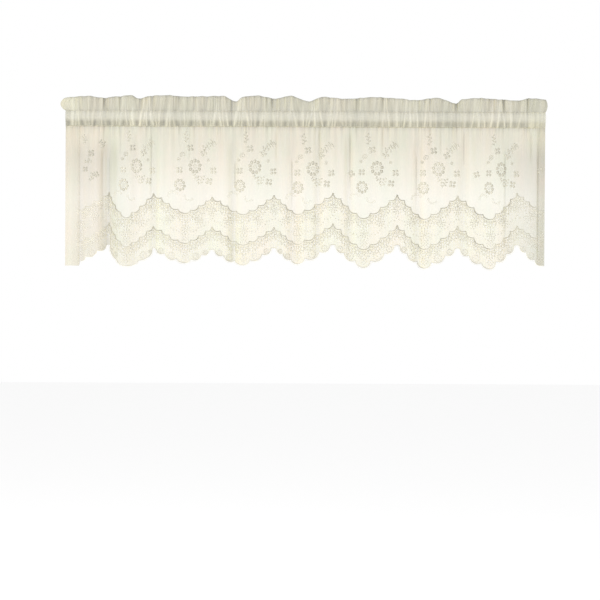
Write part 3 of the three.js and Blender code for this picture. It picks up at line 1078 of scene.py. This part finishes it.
def math_node(tree, operation, *values):
    return add_node(tree, "Math", dict(enumerate(values)), operation=operation).outputs[0]


def times(tree, a, b):
    return math_node(tree, "MULTIPLY", a, b)


def scaled(tree, value, scale, start):
    return math_node(tree, "MULTIPLY_ADD", value, scale, start)


def attribute(tree, name, output="Fac"):
    return add_node(tree, "Attribute", attribute_name=name).outputs[output]


def noise(tree, coordinates, scale, detail, stretch=(1, 1, 1)):
    mapped = add_node(tree, "Mapping", {"Vector": coordinates, "Scale": stretch})
    return add_node(tree, "TexNoise", {"Vector": mapped, "Scale": scale, "Detail": detail}).outputs["Fac"]


WAVE_TURN = 0.314


def wave(tree, coordinates, direction, pitch, **inputs):
    """Bands of light and dark across a direction."""
    inputs = {key.replace("_", " "): value for key, value in inputs.items()}
    inputs.update({"Vector": coordinates, "Scale": WAVE_TURN / pitch})
    node = add_node(tree, "TexWave", inputs, wave_type="BANDS", bands_direction=direction)
    return node.outputs["Fac"]


def shaded_ramp(tree, factor, low, high, dark, light):
    """Colour between two tones, times the mesh's shade, which on the cloth holds painted light and shade.
    """
    ramp = add_node(tree, "ValToRGB", {0: factor})
    for element, position, colour in zip(ramp.color_ramp.elements, (low, high), (dark, light)):
        element.position = position
        element.color = (*colour, 1)
    inputs = {0: ramp, "Scale": attribute(tree, "shade")}
    return add_node(tree, "VectorMath", inputs, operation="SCALE").outputs[0]


def lace_net(tree, alpha):
    """Opens rows of small holes below each line, with denser thread between."""
    lace = attribute(tree, "lace", "Vector")
    inputs = {"Vector": lace, "Scale": 0.2, "Randomness": 0.35}
    net = add_node(tree, "TexVoronoi", inputs).outputs["Distance"]
    below = add_node(tree, "SeparateXYZ", {0: lace}).outputs["Y"]
    fade = math_node(tree, "EXPONENT", times(tree, below, -0.022))
    near = times(tree, attribute(tree, "band"), fade)
    opened = times(tree, math_node(tree, "LESS_THAN", net, 0.36), near)
    kept = scaled(tree, opened, -0.85, 1)
    thicker = scaled(tree, near, 0.5, 1)
    return times(tree, times(tree, alpha, thicker), kept)


def sheer_material(name, cool, warm, with_net):
    """Sheer cloth. Its cover attribute is its share of thread."""
    material, tree = new_material(name)
    coordinates = add_node(tree, "TexCoord").outputs["Object"]
    looks = {"Distortion": 0.6, "Detail": 1, "Detail_Scale": 0.6}
    bands = [wave(tree, coordinates, direction, pitch=0.0011, **looks) for direction in ("X", "Z")]
    weave = math_node(tree, "MAXIMUM", *bands)
    streaks = noise(tree, coordinates, 1, 3, stretch=(170, 10, 8))
    drifts = noise(tree, coordinates, 1, 2, stretch=(22, 4, 5))
    mottle = noise(tree, coordinates, 60, 4)
    uneven = scaled(tree, streaks, 0.36, 0.72)
    threads = scaled(tree, weave, 0.25, 0.82)
    alpha = times(tree, attribute(tree, "cover"), times(tree, uneven, threads))
    if with_net:
        alpha = lace_net(tree, alpha)
    alpha.node.use_clamp = True
    tint = scaled(tree, drifts, 0.7, attribute(tree, "warmth"))
    tint = scaled(tree, mottle, 0.35, tint)
    colour = shaded_ramp(tree, tint, 0.38, 0.66, cool, warm)
    front = add_node(tree, "BsdfPrincipled", {
        "Base Color": colour,
        "Roughness": scaled(tree, mottle, 0.25, 0.7),
        "Normal": add_node(tree, "Bump", {"Height": weave, "Strength": 0.35, "Distance": 0.0003}),
        "Specular IOR Level": 0.25,
        "Sheen Weight": 0.15,
    })
    through = add_node(tree, "BsdfTranslucent", {"Color": colour})
    cloth = add_node(tree, "MixShader", {0: 0.4, 1: front, 2: through})
    mixed = add_node(tree, "MixShader", {0: alpha, 1: add_node(tree, "BsdfTransparent"), 2: cloth})
    add_node(tree, "OutputMaterial", {0: mixed})
    return material


def thread_material(name, dark, light, twist):
    """Thick thread, with its strands wound round it."""
    material, tree = new_material(name)
    coordinates = add_node(tree, "TexCoord").outputs["Object"]
    strands = wave(tree, coordinates, "DIAGONAL", twist, Distortion=1.5, Detail=2)
    mottle = noise(tree, coordinates, 120, 3)
    surface = add_node(tree, "BsdfPrincipled", {
        "Base Color": shaded_ramp(tree, mottle, 0.3, 0.72, dark, light),
        "Roughness": scaled(tree, mottle, 0.2, 0.65),
        "Normal": add_node(tree, "Bump", {"Height": strands, "Strength": 0.5, "Distance": 0.0002}),
        "Specular IOR Level": 0.3,
        "Sheen Weight": 0.1,
    })
    add_node(tree, "OutputMaterial", {0: surface})
    return material


# Studio
KEY, FILL = table("place side power", ((-2.4, -2.3, 1.5), 1.4, 66), ((2.6, -2.4, 0.2), 2.4, 16))
LIT_PLACE = (0, 0, -0.15)
ROOM_LIGHT, BACKDROP = 0.46, 1


def make_floor():
    half, height = 15, -1.2
    corners = [(-half, -half, height), (half, -half, height), (half, half, height), (-half, half, height)]
    mesh = bpy.data.meshes.new("studio_floor")
    mesh.from_pydata(corners, [], [(0, 1, 2, 3)])
    material, tree = new_material("studio_floor")
    surface = add_node(tree, "BsdfPrincipled", {
        "Base Color": (0.93, 0.93, 0.93, 1),
        "Roughness": 0.9,
        "Specular IOR Level": 0.1,
        "Emission Color": WHITE,
        "Emission Strength": 0.52,
    })
    add_node(tree, "OutputMaterial", {0: surface})
    mesh.materials.append(material)
    floor = add_object("studio_floor", mesh)


def make_light(name, lamp):
    data = bpy.data.lights.new(name, "AREA")
    data.shape = "SQUARE"
    data.size = lamp.side
    data.energy = lamp.power
    ahead = Vector(LIT_PLACE) - Vector(lamp.place)
    add_object(name, data, lamp.place, ahead.to_track_quat("-Z", "Y"))


def make_world():
    world = bpy.data.worlds.new("studio")
    world.use_nodes = True
    tree = world.node_tree
    tree.nodes.clear()
    path = add_node(tree, "LightPath").outputs["Is Camera Ray"]
    lit, seen = (
        add_node(tree, "Background", {"Color": WHITE, "Strength": strength})
        for strength in (ROOM_LIGHT, BACKDROP)
    )
    add_node(tree, "OutputWorld", {0: add_node(tree, "MixShader", {0: path, 1: lit, 2: seen})})
    bpy.context.scene.world = world


# Cooler and warmer tone of each cloth, and dark and light tone and twist of each thread
CLOTHS = {
    "panel_lace": ((0.775, 0.765, 0.535), (0.875, 0.76, 0.555), True),
    "heading_lace": ((0.77, 0.745, 0.52), (0.81, 0.745, 0.53), False),
}
THREADS = {
    "cord_thread": ((0.5, 0.475, 0.385), (0.6, 0.57, 0.47), 0.0012),
    "stitch_thread": ((0.69, 0.66, 0.56), (0.79, 0.76, 0.65), 0.0008),
    "motif_thread": ((0.535, 0.51, 0.42), (0.645, 0.615, 0.515), 0.0009),
    "sewing_thread": ((0.66, 0.62, 0.48), (0.78, 0.74, 0.6), 0.0007),
}


def main():
    make_camera()
    make_floor()
    make_world()
    make_light("key_light", KEY)
    make_light("fill_light", FILL)
    bpy.context.scene.view_settings.view_transform = "Standard"

    looks = {name: sheer_material(name, *tones) for name, tones in CLOTHS.items()}
    looks |= {name: thread_material(name, *tones) for name, tones in THREADS.items()}

    panel = make_panel(looks["panel_lace"])
    heading, front, back = make_heading(looks["heading_lace"])
    on_panel = make_flowers(looks["motif_thread"])
    on_panel += make_zigzag_cords(looks["cord_thread"])
    on_panel.append(make_lace_stitches(looks["stitch_thread"]))
    on_panel += make_side_hems(looks["panel_lace"], looks["sewing_thread"])
    on_heading = make_heading_stitching(looks["sewing_thread"], front, back)


main()
